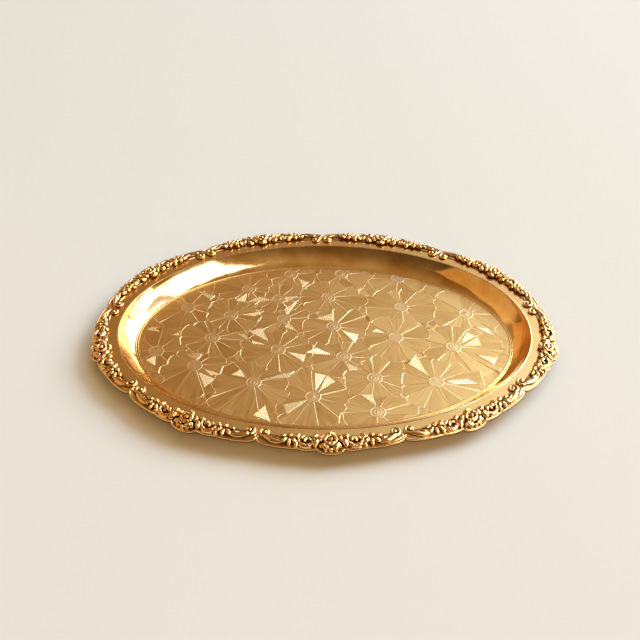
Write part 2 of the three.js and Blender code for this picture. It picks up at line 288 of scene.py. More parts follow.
FACETS = (
    # corners of the facet in millimetres, the pointed end first
    ((-96, 58), (-85, 46), (-82, 51)), ((-58, 54), (-66, 45), (-59, 43.5)),
    ((-38, 46), (-48, 50), (-58, 43)), ((-63, 29), (-52, 27), (-44.5, 33)),
    ((-20, 50.5), (-28, 50), (-28.5, 44)), ((-19, 46), (-29, 35), (-28, 28.5)),
    ((-26, 19.5), (-29, 14.5), (-20, 9.5)), ((-130, 12), (-120, 10), (-125, 15.5)),
    ((-110.5, 6), (-104, 5), (-106, 9)), ((-40, -5), (-53, 0.5), (-52, -3.5)),
    ((-54, -1), (-58, 7), (-64, 8)), ((-41, -1), (-46, 14), (-55, 10)),
    ((-28, -11.5), (-16.5, -22), (-14.5, -15)), ((6, -16), (-6, -7.5), (-14.5, -13)),
    ((-7, 24), (6.5, 22), (5.5, 30)), ((-91, -20.5), (-87, -12.5), (-99, -14.5)),
    ((-120, -15), (-126, -20.5), (-120, -25.5)), ((-86.5, -28.5), (-80, -36), (-72, -35)),
    ((-89.5, -32), (-84, -47), (-77, -39)), ((-55.5, -38.5), (-60, -30), (-66, -35.5)),
    ((-44.5, -40), (-27, -38.5), (-22.5, -32)), ((-8, -50.5), (-1, -36), (-8, -33.5)),
    ((-5, -51), (5.5, -42), (0.5, -36)), ((-14, -60), (-30, -64.5), (-27.5, -73)),
    ((-42.5, -65.5), (-50, -74.5), (-39, -80)), ((-15.5, 62), (-11, 67.5), (-19, 72.5)),
    ((11.5, 12), (21, -2), (24, 6.5)), ((45.5, 7.5), (38, 13), (34.5, 9)),
    ((15, -23), (16.5, -32), (24, -30.5)), ((70, -36.5), (64, -15.5), (58, -25)),
    ((81.5, -42), (88, -46), (106, -45.5), (98, -40)), ((32, -65.5), (30, -55), (22, -55)),
    ((98, -3), (110, 4.5), (104, 9)), ((99, -6.5), (112, -6), (111, 3.5)),
    ((124, 4), (120, 13), (110, 15)), ((107, -15), (122, -18), (118, -26)),
)
LINE_HALF = 0.24
LINE_HEIGHT = 0.065
LINE_CREST = 1 / 3
LINE_STEP = 0.4
LINE_LIMIT = 0.993
EYE_RADIUS = 5.1
EYE_EDGE = 5.5
EYE_SIDES = 28
# rings of an eye, as radius and height, from the outside in
EYES = {
    "plain": ((EYE_EDGE, 0), (5.2, 0.12), (4.8, 0.12), (4.5, 0.04), (4.3, 0.04), (2.2, 0.05), (0.8, 0.06)),
    "ring": ((EYE_EDGE, 0), (5.2, 0.13), (4.9, 0.13), (4.6, 0.04), (4.4, 0.04), (3.1, 0.04), (2.9, 0.05),
             (2.6, 0.13), (2.3, 0.13), (2.0, 0.05), (1.8, 0.05), (0.9, 0.05), (0.5, 0.14)),
    "dot": ((EYE_EDGE, 0), (5.2, 0.13), (4.9, 0.13), (4.6, 0.04), (4.4, 0.04), (1.7, 0.05), (1.5, 0.06),
            (1.0, 0.16), (0.5, 0.18)),
}
# ends of the petals, cut straight, round or pointed, as shares of the width and of the reach
ENDS = (
    ((0.16, 0.98), (0.84, 0.98)),
    ((0.08, 0.96), (0.25, 0.99), (0.5, 1.0), (0.75, 0.99), (0.92, 0.96)),
    ((0.15, 0.96), (0.52, 1.03), (0.85, 0.96)),
)
PETAL_SEED = 7
PETAL_SWAY = 0.22
PETAL_PROBES = (0.2, 0.5, 0.8)
PETAL_OWN, PETAL_BESIDE = 0.6, 0.4
PETAL_REACH = (1.02, 1.12)
NOTCH_REACH = (0.94, 1.02)
TILT = 0.022
TILT_FADE = 30
CUT_PITCH = 1.4
CUT_HEIGHT = 0.2
CUT_FALL = 0.66
CUT_LEAST, CUT_SPREAD = 0.65, 0.5
CUT_FACING = Vector((math.cos(math.radians(-30)), math.sin(math.radians(-30))))
UNEVEN = 0.61
HAIR = 1e-6
PARALLEL = 1e-9
floor_half = Vector((LIP_X + FLOOR_OUT, LIP_Y + FLOOR_OUT)) / MM
floor_edge = [Vector((floor_half.x * math.cos(turn), floor_half.y * math.sin(turn)))
              for turn in np.arange(RING) * math.tau / RING + math.pi / 2]
middles = [Vector(flower[:2]) for flower in FLOWERS]
flower_spots = np.array([tuple(middle) for middle in middles])
facets = [[Vector(corner) for corner in facet] for facet in FACETS]
for facet in facets:
    if (facet[1] - facet[0]).cross(facet[2] - facet[0]) < 0:
        facet.reverse()


def sides_of(outline):
    """The sides of a closed outline, each as its two ends."""
    return zip(outline, outline[1:] + outline[:1])


def from_centre(points):
    """How far out each point lies, from 0 at the middle of the floor to 1 at its edge."""
    return np.hypot(points[:, 0] / floor_half.x, points[:, 1] / floor_half.y)


def nearer_part(cell, middle, other):
    """What is left of a cell where it lies nearer to one flower than to another."""
    towards = other - middle
    limit = (other.length_squared - middle.length_squared) / 2
    kept = []
    for a, b in sides_of(cell):
        past_a, past_b = a.dot(towards) - limit, b.dot(towards) - limit
        if past_a <= 0:
            kept.append(a)
        if past_a * past_b < 0:
            kept.append(a.lerp(b, past_a / (past_a - past_b)))
    return kept


def reach_of(cell, middle, turn):
    """How far a flower's cell reaches in one direction."""
    ray = Vector((math.cos(turn), math.sin(turn)))
    reach = EYE_RADIUS * 2
    for a, b in sides_of(cell):
        side = b - a
        cross = ray.cross(side)
        if abs(cross) > PARALLEL:
            share = (a - middle).cross(ray) / cross
            far = (a - middle).cross(side) / cross
            if far > 0 and 0 <= share <= 1:
                reach = max(reach, far)
    return reach


dice = random.Random(PETAL_SEED)
flower_turns = []
flower_rims = []
flower_tilts = []
for middle, flower in zip(middles, FLOWERS):
    petals = flower[2]
    cell = floor_edge
    for other in middles:
        if other is not middle:
            cell = nearer_part(cell, middle, other)
    first = dice.uniform(0, math.tau)
    turns = []
    for petal in range(petals):
        turns.append(first + (petal + dice.uniform(-PETAL_SWAY, PETAL_SWAY)) * math.tau / petals)
    spans = list(zip(turns, turns[1:] + [turns[0] + math.tau]))
    lengths = []
    for turn, after in spans:
        reaches = [reach_of(cell, middle, turn + share * (after - turn)) for share in PETAL_PROBES]
        lengths.append(sum(reaches) / len(reaches))
    rim = []
    for petal, (turn, after) in enumerate(spans):
        beside = (lengths[petal - 1] + lengths[(petal + 1) % petals]) / 2
        length = (PETAL_OWN * lengths[petal] + PETAL_BESIDE * beside) * dice.uniform(*PETAL_REACH)
        notch = (lengths[petal] + lengths[petal - 1]) / 2 * dice.uniform(*NOTCH_REACH)
        outline = [(0, notch)] + [(across, reach * length) for across, reach in dice.choice(ENDS)]
        for across, reach in outline:
            way = turn + across * (after - turn)
            rim.append(middle + Vector((math.cos(way), math.sin(way))) * reach)
    flower_turns.append(turns)
    flower_rims.append(rim)
    flower_tilts.append([dice.uniform(-TILT, TILT) for _ in turns])


def turn_from(points, index):
    """The angle of each point round a flower, counted on from the flower's first line, and its distance."""
    offsets = points - flower_spots[index]
    first = flower_turns[index][0]
    return (np.arctan2(offsets[:, 1], offsets[:, 0]) - first) % math.tau, np.hypot(*offsets.T)


def in_flower(points, index):
    """Whether each point lies inside the outline of a flower's petals."""
    rim = np.array([tuple(spot) for spot in flower_rims[index]])
    rim_turns = turn_from(rim, index)[0]
    rim_turns[0] = 0
    place = np.searchsorted(rim_turns, turn_from(points, index)[0], side="right") - 1
    start = rim[place]
    side = np.roll(rim, -1, 0)[place] - start
    return side[:, 0] * (points - start)[:, 1] - side[:, 1] * (points - start)[:, 0] > 0


def in_facet(points, facet):
    """Whether each point lies inside a bright facet."""
    inside = np.ones(len(points), bool)
    for a, b in sides_of(facet):
        inside &= (b.x - a.x) * (points[:, 1] - a.y) - (b.y - a.y) * (points[:, 0] - a.x) > 0
    return inside


def shown_runs(a, b, index):
    """The stretches of a flower's line that no facet and no flower on top of it covers."""
    steps = math.ceil((b - a).length / LINE_STEP) + 1
    points = np.array([tuple(a.lerp(b, step / steps)) for step in range(steps + 1)])
    shown = from_centre(points) < LINE_LIMIT
    for facet in facets:
        shown &= ~in_facet(points, facet)
    for over in range(index):
        shown &= ~in_flower(points, over)
    changes = np.flatnonzero(np.diff(np.concatenate([[0], shown.astype(int), [0]])))
    runs = [(start, stop - 1) for start, stop in changes.reshape(-1, 2) if stop - start > 1]
    return [(Vector(points[start]), Vector(points[last])) for start, last in runs]


lines = [side for facet in facets for side in sides_of(facet)]
for index, rim in enumerate(flower_rims):
    for a, b in sides_of(rim):
        lines += shown_runs(a, b, index)
    for turn in flower_turns[index]:
        ray = Vector((math.cos(turn), math.sin(turn)))
        end = next(spot for spot in rim if abs((spot - middles[index]).normalized().dot(ray) - 1) < HAIR)
        lines += shown_runs(middles[index] + ray * EYE_RADIUS, end, index)

# Plan of the floor: its edge, both sides and the crest of each raised line, and the rings of the eyes.
plan_points = list(floor_edge)
plan_edges = [(step, (step + 1) % RING) for step in range(RING)]


def add_loop(points, closed):
    """Add a line to the plan, closed or open."""
    start = len(plan_points)
    plan_points.extend(points)
    count = len(points)
    steps = range(count if closed else count - 1)
    plan_edges.extend((start + step, start + (step + 1) % count) for step in steps)


for a, b in lines:
    ahead = (b - a).normalized() * LINE_HALF
    side = Vector((-ahead.y, ahead.x))
    add_loop([a - ahead - side, b + ahead - side, b + ahead + side, a - ahead + side], True)
    for share in (-LINE_CREST, LINE_CREST):
        add_loop([a + side * share, b + side * share], False)
eye_turns = np.arange(EYE_SIDES) * math.tau / EYE_SIDES
for middle, flower in zip(middles, FLOWERS):
    for radius, _ in EYES[flower[3]]:
        add_loop([middle + radius * Vector((math.cos(turn), math.sin(turn))) for turn in eye_turns], True)

# Cuts of the facets: saw teeth along or across each facet, on whichever side of it turns most to the window.
facet_falls = []
for facet in facets:
    axis = ((facet[1] + facet[2]) / 2 - facet[0]).normalized()
    across = Vector((-axis.y, axis.x))
    fall = max((axis, -axis, across, -across), key=CUT_FACING.dot)
    facet_falls.append(fall)
    reaches = [corner.dot(fall) / CUT_PITCH for corner in facet]
    for cut in range(math.floor(min(reaches)), math.ceil(max(reaches)) + 1):
        for place in (cut, cut + CUT_FALL):
            ends = []
            for a, b in sides_of(facet):
                past_a, past_b = a.dot(fall) / CUT_PITCH - place, b.dot(fall) / CUT_PITCH - place
                if past_a * past_b < 0:
                    ends.append(a.lerp(b, past_a / (past_a - past_b)))
            if len(ends) == 2 and (ends[1] - ends[0]).length > 4 * LINE_HALF:
                inset = (ends[1] - ends[0]).normalized() * LINE_HALF
                add_loop([ends[0] + inset, ends[1] - inset], False)

PLAN_JOIN = 1e-4
NEAR_EDGE, PAST_EDGE = 0.9999, 1.00001
flat = delaunay_2d_cdt(plan_points, plan_edges, [], 0, PLAN_JOIN)
plan = np.array([tuple(point) for point in flat[0]])
plan_out = from_centre(plan)
faces = [face for face in flat[2] if all(plan_out[list(face)] < PAST_EDGE)]


def from_eyes(points):
    """The distance of each point from the middle of each flower."""
    offsets = points[:, None, :] - flower_spots[None]
    return np.hypot(offsets[..., 0], offsets[..., 1])


def petal_of(points):
    """For each point: the flower on top there, the angle and distance in it, the petal and the facet."""
    flower = from_eyes(points).argmin(1)
    for index in reversed(range(len(FLOWERS))):
        flower[in_flower(points, index)] = index
    turn, far = np.zeros(len(points)), np.zeros(len(points))
    petal = np.zeros(len(points), int)
    for index, turns in enumerate(flower_turns):
        mine = flower == index
        turn[mine], far[mine] = turn_from(points[mine], index)
        petal[mine] = np.searchsorted(np.array(turns) - turns[0], turn[mine], side="right") - 1
    cut = np.full(len(points), -1)
    for index, facet in enumerate(facets):
        cut[in_facet(points, facet)] = index
    return flower, turn, far, petal, cut


def line_relief(points):
    """Height of the raised lines at each point."""
    raised = np.zeros(len(points))
    for a, b in lines:
        start = np.array(tuple(a))
        along = np.array(tuple(b - a))
        share = np.clip((points - start) @ along / (along @ along), 0, 1)
        gap = np.hypot(*(points - start - share[:, None] * along).T)
        rise = (LINE_HALF - gap) / (LINE_HALF * (1 - LINE_CREST))
        raised = np.maximum(raised, LINE_HEIGHT * np.clip(rise, 0, 1))
    return raised


def floor_relief(points, raised):
    """Height of the chased floor at each point: tilted petals, cut facets, raised lines and eyes."""
    flower, turn, far, petal, cut = petal_of(points)
    tops = list(zip(flower, petal))
    tilt = np.array([flower_tilts[top][part] for top, part in tops])
    start = np.array([flower_turns[top][part] - flower_turns[top][0] for top, part in tops])
    height = far * np.sin(turn - start) * tilt * np.clip((1 - from_centre(points)) * TILT_FADE, 0, 1)
    for index, fall in enumerate(facet_falls):
        mine = cut == index
        place = points[mine] @ np.array(tuple(fall)) / CUT_PITCH + HAIR
        deep = CUT_HEIGHT * (CUT_LEAST + CUT_SPREAD * (index * UNEVEN % 1))
        height[mine] = deep * np.interp(place % 1, (0, CUT_FALL, 1), (1, 0, 1))
    height += raised
    for spot, flower in zip(flower_spots, FLOWERS):
        radii, heights = np.array(EYES[flower[3]][::-1]).T
        from_eye = np.hypot(*(points - spot).T)
        inside = from_eye < radii[-1]
        height[inside] = np.maximum(np.interp(from_eye[inside], radii, heights), raised[inside])
    return height


raised = line_relief(plan)
heights = floor_relief(plan, raised)
heights[plan_out > NEAR_EDGE] = 0
floor_mesh = bpy.data.meshes.new("engraved_floor")
floor_mesh.from_pydata(np.column_stack([plan * MM, SHEET + heights * MM]).tolist(), [], faces)
floor = bpy.data.objects.new("engraved_floor", floor_mesh)
bpy.context.scene.collection.objects.link(floor)

# Marks of the chasing: red for lines, half red for eyes, green for facets, blue for a petal's painted shade;
# red and green also set where the finish paints highlights.
# The petal map gives the angle and the distance from a flower's middle, for the strokes of the finish.
EYE_MARK = 0.5
LINE_MARK_FROM = 0.3
ROUND_FROM = 0.05
FLOWER_UNEVEN = 0.37
MAP_LENGTH = 100
WELD = 0.02 * MM
corners = np.array(faces)
centres = plan[corners].mean(1)
face_flower, face_turn, _, face_petal, face_cut = petal_of(centres)
in_eye = from_eyes(centres).min(1) < EYE_EDGE
on_line = raised[corners].mean(1) > LINE_HEIGHT * LINE_MARK_FROM
chasing = np.ones((len(faces), 3, 4))
chasing[..., 0] = np.where(in_eye, EYE_MARK, on_line)[:, None]
chasing[..., 1] = ((face_cut >= 0) & ~in_eye)[:, None]
chasing[..., 2] = ((face_flower * FLOWER_UNEVEN + face_petal * UNEVEN) % 1)[:, None]
rounded = (raised[corners].max(1) > LINE_HEIGHT * ROUND_FROM) | in_eye
floor_mesh.polygons.foreach_set("use_smooth", rounded)
marks = floor_mesh.color_attributes.new("chasing", "FLOAT_COLOR", "CORNER")
marks.data.foreach_set("color", chasing.ravel())
offsets = plan[corners] - flower_spots[face_flower][:, None, :]
first = np.array([flower_turns[flower][0] for flower in face_flower])
corner_turn = np.arctan2(offsets[..., 1], offsets[..., 0]) - (face_turn + first)[:, None]
corner_turn = face_turn[:, None] + (corner_turn + math.pi) % math.tau - math.pi
corner_far = np.hypot(offsets[..., 0], offsets[..., 1]) / MAP_LENGTH
petal_map = floor_mesh.uv_layers.new(name="petal")
petal_map.data.foreach_set("uv", np.stack([corner_turn, corner_far], -1).ravel())
for finish in pan.data.materials:
    floor_mesh.materials.append(finish)

bpy.ops.object.select_all(action="DESELECT")
floor.select_set(True)
pan.select_set(True)
bpy.context.view_layer.objects.active = pan
bpy.ops.object.join()
bpy.ops.object.mode_set(mode="EDIT")
bpy.ops.mesh.select_all(action="SELECT")
bpy.ops.mesh.remove_doubles(threshold=WELD)
bpy.ops.mesh.normals_make_consistent(inside=False)
bpy.ops.object.mode_set(mode="OBJECT")
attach(pan, "root")
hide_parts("pan")

# Finish of the floor: fine strokes run along the petals and make the gilding paler and rougher in streaks,
# and each petal is painted lighter or darker as painted shade.
# The raised lines and the eyes are burnished and painted paler as a painted highlight, and the facets are
# matted with a fine stipple of pale cream specks, a painted sparkle.
FIELD = (0.86, 0.515, 0.16, 1)
FIELD_DEEP = (0.70, 0.365, 0.093, 1)
SPARKLE_CREAM = (0.97, 0.72, 0.36, 1)
STROKE_STRETCH = (10, 3, 1)
STROKE_SCALE = 1.6
STROKE_TONE = 1.5
STROKE_STRENGTH = 0.3
STROKE_DEPTH = 0.1 * MM
STIPPLE_SCALE = 750
STIPPLE_SPARKLE = (3.0, -1.1)
PETAL_SHADE = (0.7, -0.55)
LINE_HIGHLIGHT = 0.8
LINE_ROUGHNESS = 0.02
FLOOR_ROUGHNESS = (0.16, 0.24)
tree = pan.data.materials[FLOOR_SLOT].node_tree
chase_marks = add_node(tree, "ShaderNodeVertexColor", layer_name="chasing")
chased = add_node(tree, "ShaderNodeSeparateColor")
tree.links.new(chase_marks.outputs["Color"], chased.inputs["Color"])
petal_place = add_node(tree, "ShaderNodeUVMap", uv_map="petal").outputs["UV"]
stroke_place = stretched(tree, petal_place, STROKE_STRETCH)
strokes = noise_on(tree, stroke_place, STROKE_SCALE, detail=3, noise_dimensions="2D")
floor_place = add_node(tree, "ShaderNodeTexCoord").outputs["Object"]
stipple = noise_on(tree, floor_place, STIPPLE_SCALE, detail=1)
# painted shade: each petal's gold is made lighter or darker by its blue mark
petal_shade_and_strokes = sum_of(tree, "MULTIPLY_ADD", chased.outputs["Blue"], *PETAL_SHADE)
petal_shade_and_strokes = sum_of(tree, "MULTIPLY_ADD", strokes, STROKE_TONE, petal_shade_and_strokes)
field = mix_colour(tree, petal_shade_and_strokes, FIELD_DEEP, FIELD)
# painted highlight: the raised lines, and half as much the eyes, are mixed towards pale gold
line_highlight = sum_of(tree, "MULTIPLY", chased.outputs["Red"], LINE_HIGHLIGHT)
field = mix_colour(tree, line_highlight, field, GOLD_PALE)
# painted sparkle: pale cream specks on the facets stand for the light their hatched cuts catch
sparkle_specks = sum_of(tree, "MULTIPLY_ADD", stipple, *STIPPLE_SPARKLE)
matted_sparkle = mix_colour(tree, sparkle_specks, FIELD, SPARKLE_CREAM)
feed(tree, mix_colour(tree, chased.outputs["Green"], field, matted_sparkle), "Base Color")
rough = sum_of(tree, "MULTIPLY_ADD", strokes, *FLOOR_ROUGHNESS)
feed(tree, sum_of(tree, "MULTIPLY_ADD", chased.outputs["Red"], LINE_ROUGHNESS, rough), "Roughness")
add_bump(tree, strokes, STROKE_STRENGTH, STROKE_DEPTH)

# Border castings: nine cast and gilded rococo pieces soldered end to end round the flange.
# One is modelled straight, in millimetres along, out from the lip and up from its seat: lumps and reeds on a
# band are fused into one cast skin, and nine copies of it are laid round the rim.
REPEATS = 9
SEAM_GAP = 0.3
EDGE = FLANGE_WIDTH / MM
CREST_OUT = EDGE + 6.8
SHOULDER_OUT = EDGE + 3.9
SHOULDER_BULGE = 0.7
NOTCH_OUT = EDGE + 0.4
SHELL_HALF = 8.6
SHOULDER_END = 21.2
BAND_IN_MIDDLE = EDGE - 6.9
BAND_IN_END = EDGE - 5.1
RIM_STEPS = 6000
rim_turns = np.linspace(-math.pi / 2, 3 * math.pi / 2, RIM_STEPS + 1)


def rim_normal(turn):
    """The way straight out from the lip, at an angle round the oval."""
    normal = np.stack([np.cos(turn) / LIP_X, np.sin(turn) / LIP_Y], -1)
    return normal / np.linalg.norm(normal, axis=-1, keepdims=True)


border_line = np.stack([LIP_X * np.cos(rim_turns), LIP_Y * np.sin(rim_turns)], -1)
border_line += rim_normal(rim_turns) * FLANGE_WIDTH
border_run = np.concatenate([[0], np.linalg.norm(np.diff(border_line, axis=0), axis=1).cumsum()])
PITCH = border_run[-1] / REPEATS / MM
HALF = (PITCH - SEAM_GAP) / 2


def band_out(along):
    """Outer edge of a casting: a round shell, a shoulder, and an arm that falls to the notch at the seam."""
    far = np.abs(along)
    shell = SHOULDER_OUT + (CREST_OUT - SHOULDER_OUT) * np.sqrt(np.clip(1 - (far / SHELL_HALF) ** 2, 0, 1))
    swell = np.clip((far - SHELL_HALF) / (SHOULDER_END - SHELL_HALF), 0, 1)
    shoulder = SHOULDER_OUT + SHOULDER_BULGE * np.sin(swell * math.pi)
    share = np.clip((far - SHOULDER_END) / (HALF - SHOULDER_END), 0, 1)
    arm = NOTCH_OUT + (SHOULDER_OUT - NOTCH_OUT) * np.sqrt(1 - share ** 3)
    return np.where(far < SHELL_HALF, shell, np.where(far < SHOULDER_END, shoulder, arm))


def band_in(along):
    """Inner edge of a casting, a little further out at the seams."""
    return BAND_IN_MIDDLE + (BAND_IN_END - BAND_IN_MIDDLE) * np.abs(along) / HALF


def points_of(piece):
    """The points of a piece's mesh, one row for each."""
    points = np.zeros(len(piece.data.vertices) * 3)
    piece.data.vertices.foreach_get("co", points)
    return points.reshape(-1, 3)


def apply_modifier(piece, kind, **settings):
    """Add a modifier to the active piece, with its settings, and apply it."""
    bpy.ops.object.modifier_add(type=kind)
    for name, value in settings.items():
        setattr(piece.modifiers[0], name, value)
    bpy.ops.object.modifier_apply(modifier=piece.modifiers[0].name)


casting_pieces = []


def lump(along, out, lift, sizes, turn=0.0, tip=0.0):
    """A rounded lump of the wax model: its half sizes along, across and up, turned in plan and tipped up."""
    bpy.ops.mesh.primitive_uv_sphere_add(segments=16, ring_count=10, radius=1, location=(along, out, lift),
                                         rotation=(0, -math.radians(tip), math.radians(turn)), scale=sizes)
    casting_pieces.append(bpy.context.object)


def reed(points, radii):
    """A rounded reed of the wax model through points of (along, out, lift)."""
    bpy.ops.curve.primitive_bezier_curve_add()
    path = bpy.context.object.data
    path.dimensions = "3D"
    path.bevel_depth = 1
    path.bevel_resolution = 3
    path.resolution_u = 6
    path.use_fill_caps = True
    knots = path.splines[0].bezier_points
    knots.add(len(points) - 2)
    for knot, point, radius in zip(knots, points, radii):
        knot.co = point
        knot.radius = radius
        knot.handle_left_type = "AUTO"
        knot.handle_right_type = "AUTO"
    bpy.ops.object.convert(target="MESH")
    casting_pieces.append(bpy.context.object)


def ring_reed(along, out, lift, reach, turns, radii):
    """A reed bent round a middle point: its reach along and across, and the angles that it passes."""
    ways = [math.radians(turn) for turn in turns]
    reed([(along + reach[0] * math.cos(way), out + reach[1] * math.sin(way), lift) for way in ways], radii)


def mirrored(turn, side):
    """An angle in plan as it is on one side of the casting, the left being -1."""
    return turn if side > 0 else 180 - turn


def fan(side, along, out, lift, reach, turns, sizes, tip):
    """Lumps spread like a fan round a middle point, on one side of the casting."""
    for turn in turns:
        way = math.radians(turn)
        place = side * (along + reach[0] * math.cos(way))
        lump(place, out + reach[1] * math.sin(way), lift, sizes, mirrored(turn, side), tip)


# Ground of the border: a thin band under the ornament, with a groove, a rounded line and a plain skirt.
BAND_ROWS = (
    # share of the width, millimetres in from there, height
    (0, 0, 0.2), (0, -0.4, 0.7), (0.3, 0, 0.9), (0.6, 0, 1.0), (1, 2.7, 1.0),
    (1, 2.1, 0.7), (1, 1.75, 0.5), (1, 1.4, 0.6), (1, 1.0, 0.95), (1, 0.55, 1.1),
    (1, 0.15, 0.85), (1, 0, 0.4), (1, 0.1, -0.4), (1, 0.4, -1.2),
)
BAND_STEPS = 200
BAND_THICKNESS = 0.9
bpy.ops.object.select_all(action="DESELECT")
bpy.ops.mesh.primitive_grid_add(x_subdivisions=BAND_STEPS, y_subdivisions=len(BAND_ROWS) - 1, size=2)
band = bpy.context.object
grid = points_of(band)
rows = np.array(BAND_ROWS)[np.rint((grid[:, 1] + 1) / 2 * (len(BAND_ROWS) - 1)).astype(int)]
along = grid[:, 0] * HALF
out = band_in(along) + (band_out(along) - band_in(along)) * rows[:, 0] - rows[:, 1]
band.data.vertices.foreach_set("co", np.column_stack([along, out, rows[:, 2]]).ravel())
apply_modifier(band, "SOLIDIFY", thickness=BAND_THICKNESS, offset=-1)
casting_pieces.append(band)

# Rose and shell: a full rose in the middle of each casting, over a shell with a row of beads as the crest.
ROSE_OUT = 12.6
ROSE_RINGS = (
    # petals, turn of the first, degrees between points, reach along and across, lift, radii at the points
    (3, 100, 26, (3.6, 3.0), 2.8, (0.5, 1.0, 1.3, 1.4, 1.3, 1.0, 0.5)),
    (5, -90, 15, (6.3, 5.1), 1.8, (0.8, 1.6, 1.9, 1.6, 0.8)),
)
ROSE_HEART = (1.8, 1.6, 1.3)
ROSE_HEART_LIFT = 3.2
SHELL_OUT = 13.0
SHELL_LIFT = 1.7
SHELL_REACH = (7.4, 5.7)
SHELL_TURNS = (38, 64, 90, 116, 142)
SHELL_BEAD = (1.25, 1.15, 1.3)
lump(0, ROSE_OUT, ROSE_HEART_LIFT, ROSE_HEART)
for petals, first, step, reach, lift, radii in ROSE_RINGS:
    for petal in range(petals):
        places = range(-(len(radii) // 2), len(radii) // 2 + 1)
        turns = [first + 360 / petals * petal + step * place for place in places]
        ring_reed(0, ROSE_OUT, lift, reach, turns, radii)
for turn in SHELL_TURNS:
    way = math.radians(turn)
    bead_out = SHELL_OUT + SHELL_REACH[1] * math.sin(way)
    lump(SHELL_REACH[0] * math.cos(way), bead_out, SHELL_LIFT, SHELL_BEAD)

# Sides of a casting: lobes beside the rose, a garland round a spray of leaves, buds, a half daisy, a leaf,
# and a smooth scroll with a thin reed along it, which curls at the seam round a ball.
LOBES = (
    # along, out, lift, half sizes, and turn in plan and tip in degrees
    (9.0, 14.4, 2.1, (3.6, 1.8, 1.7), 66, 8),
    (9.8, 9.2, 1.6, (2.6, 1.8, 1.5), 20, 8),
)
GARLAND_ALONG = 15.8
GARLAND_OUT = 10.4
GARLAND_LIFT = 1.5
GARLAND_REACH = (5.3, 6.1)
GARLAND_TURNS = [190 - 33.3 * step for step in range(7)]
GARLAND_RADII = (1.0, 1.25, 1.4, 1.4, 1.4, 1.25, 1.0)
SPRAY_OUT = 9.0
SPRAY_REACH = (2.7, 2.6)
SPRAY_TURNS = (36, 82, 128)
SPRAY_LEAF = (2.5, 1.4, 1.5)
SPRAY_TIP = 10
DAISY_ALONG = 26.4
DAISY_EYE_OUT = 9.8
DAISY_EYE_LIFT = 2.1
DAISY_EYE = (2.0, 1.7, 1.4)
DAISY_OUT = 10.2
DAISY_LIFT = 1.7
DAISY_REACH = (4.3, 4.0)
DAISY_TURNS = (6, 48, 90, 132, 174)
DAISY_PETAL = (3.0, 1.5, 1.5)
DAISY_TIP = 12
BUDS = (
    # the same values as for the lobes
    (21.0, 8.9, 1.4, (2.1, 1.5, 1.4), 50, 6),
    (21.8, 15.6, 1.4, (2.2, 1.4, 1.3), 75, 6),
)
LEAF = ((31.2, 13.4, 1.5), (34.2, 12.8, 1.2), (38.6, 11.0, 0.9))
LEAF_RADII = (1.0, 1.5, 0.3)
VOLUTE_ALONG = HALF - 4.8
VOLUTE_OUT = 8.2
VOLUTE_STEPS = 10
VOLUTE_START, VOLUTE_SWEEP = 108, 330
VOLUTE_RADIUS, VOLUTE_CLOSING = 3.3, 1.2
VOLUTE_LIFT, VOLUTE_SINK = 0.9, 0.2
VOLUTE_REED, VOLUTE_TAPER = 1.3, 0.4
BALL = (1.5, 1.5, 1.2)
BALL_LIFT = 1.1
BALL_INSET = 0.2
SCROLL_START = 28.0
SCROLL_END = VOLUTE_ALONG - 0.6
SCROLL_OVER = 3.2
SCROLL_LIFT, SCROLL_SINK = 1.2, 0.3
SCROLL_STEPS = 8
# how far in from the edge each reed of the scroll starts, and its radius
SCROLL_REEDS = ((3.2, 1.8), (6.0, 0.8))
SWELL_LEAST, SWELL_MORE = 0.35, 0.65
SWELL_START, SWELL_RUN = 0.1, 0.55


def scroll_swell(share):
    """How full the scroll is along its length: thin at its start and fullest past the middle."""
    return SWELL_LEAST + SWELL_MORE * math.sin(math.pi * (SWELL_START + SWELL_RUN * share))


for side in (-1, 1):
    for along, out, lift, sizes, turn, tip in LOBES:
        lump(side * along, out, lift, sizes, mirrored(turn, side), tip)
    garland_reach = (side * GARLAND_REACH[0], GARLAND_REACH[1])
    ring_reed(side * GARLAND_ALONG, GARLAND_OUT, GARLAND_LIFT, garland_reach, GARLAND_TURNS, GARLAND_RADII)
    fan(side, GARLAND_ALONG, SPRAY_OUT, GARLAND_LIFT, SPRAY_REACH, SPRAY_TURNS, SPRAY_LEAF, SPRAY_TIP)
    lump(side * DAISY_ALONG, DAISY_EYE_OUT, DAISY_EYE_LIFT, DAISY_EYE)
    fan(side, DAISY_ALONG, DAISY_OUT, DAISY_LIFT, DAISY_REACH, DAISY_TURNS, DAISY_PETAL, DAISY_TIP)
    for along, out, lift, sizes, turn, tip in BUDS:
        lump(side * along, out, lift, sizes, mirrored(turn, side), tip)
    reed([(side * along, out, lift) for along, out, lift in LEAF], LEAF_RADII)
    for inset, size in SCROLL_REEDS:
        points = []
        radii = []
        for step in range(SCROLL_STEPS + 1):
            share = step / SCROLL_STEPS
            along = SCROLL_START + inset + (SCROLL_END - SCROLL_START - inset) * share
            edge = float(band_out(along))
            close = inset + (edge - VOLUTE_OUT - SCROLL_OVER - inset) * share ** 3
            points.append((side * along, edge - close, SCROLL_LIFT - SCROLL_SINK * share))
            radii.append(size * scroll_swell(share))
        reed(points, radii)
    points = []
    radii = []
    for step in range(VOLUTE_STEPS + 1):
        share = step / VOLUTE_STEPS
        turn = math.radians(VOLUTE_START - VOLUTE_SWEEP * share)
        radius = VOLUTE_RADIUS - VOLUTE_CLOSING * share
        place = side * (VOLUTE_ALONG + radius * math.cos(turn))
        points.append((place, VOLUTE_OUT + radius * math.sin(turn), VOLUTE_LIFT - VOLUTE_SINK * share))
        radii.append(VOLUTE_REED - VOLUTE_TAPER * share)
    reed(points, radii)
    lump(side * (VOLUTE_ALONG - BALL_INSET), VOLUTE_OUT, BALL_LIFT, BALL)

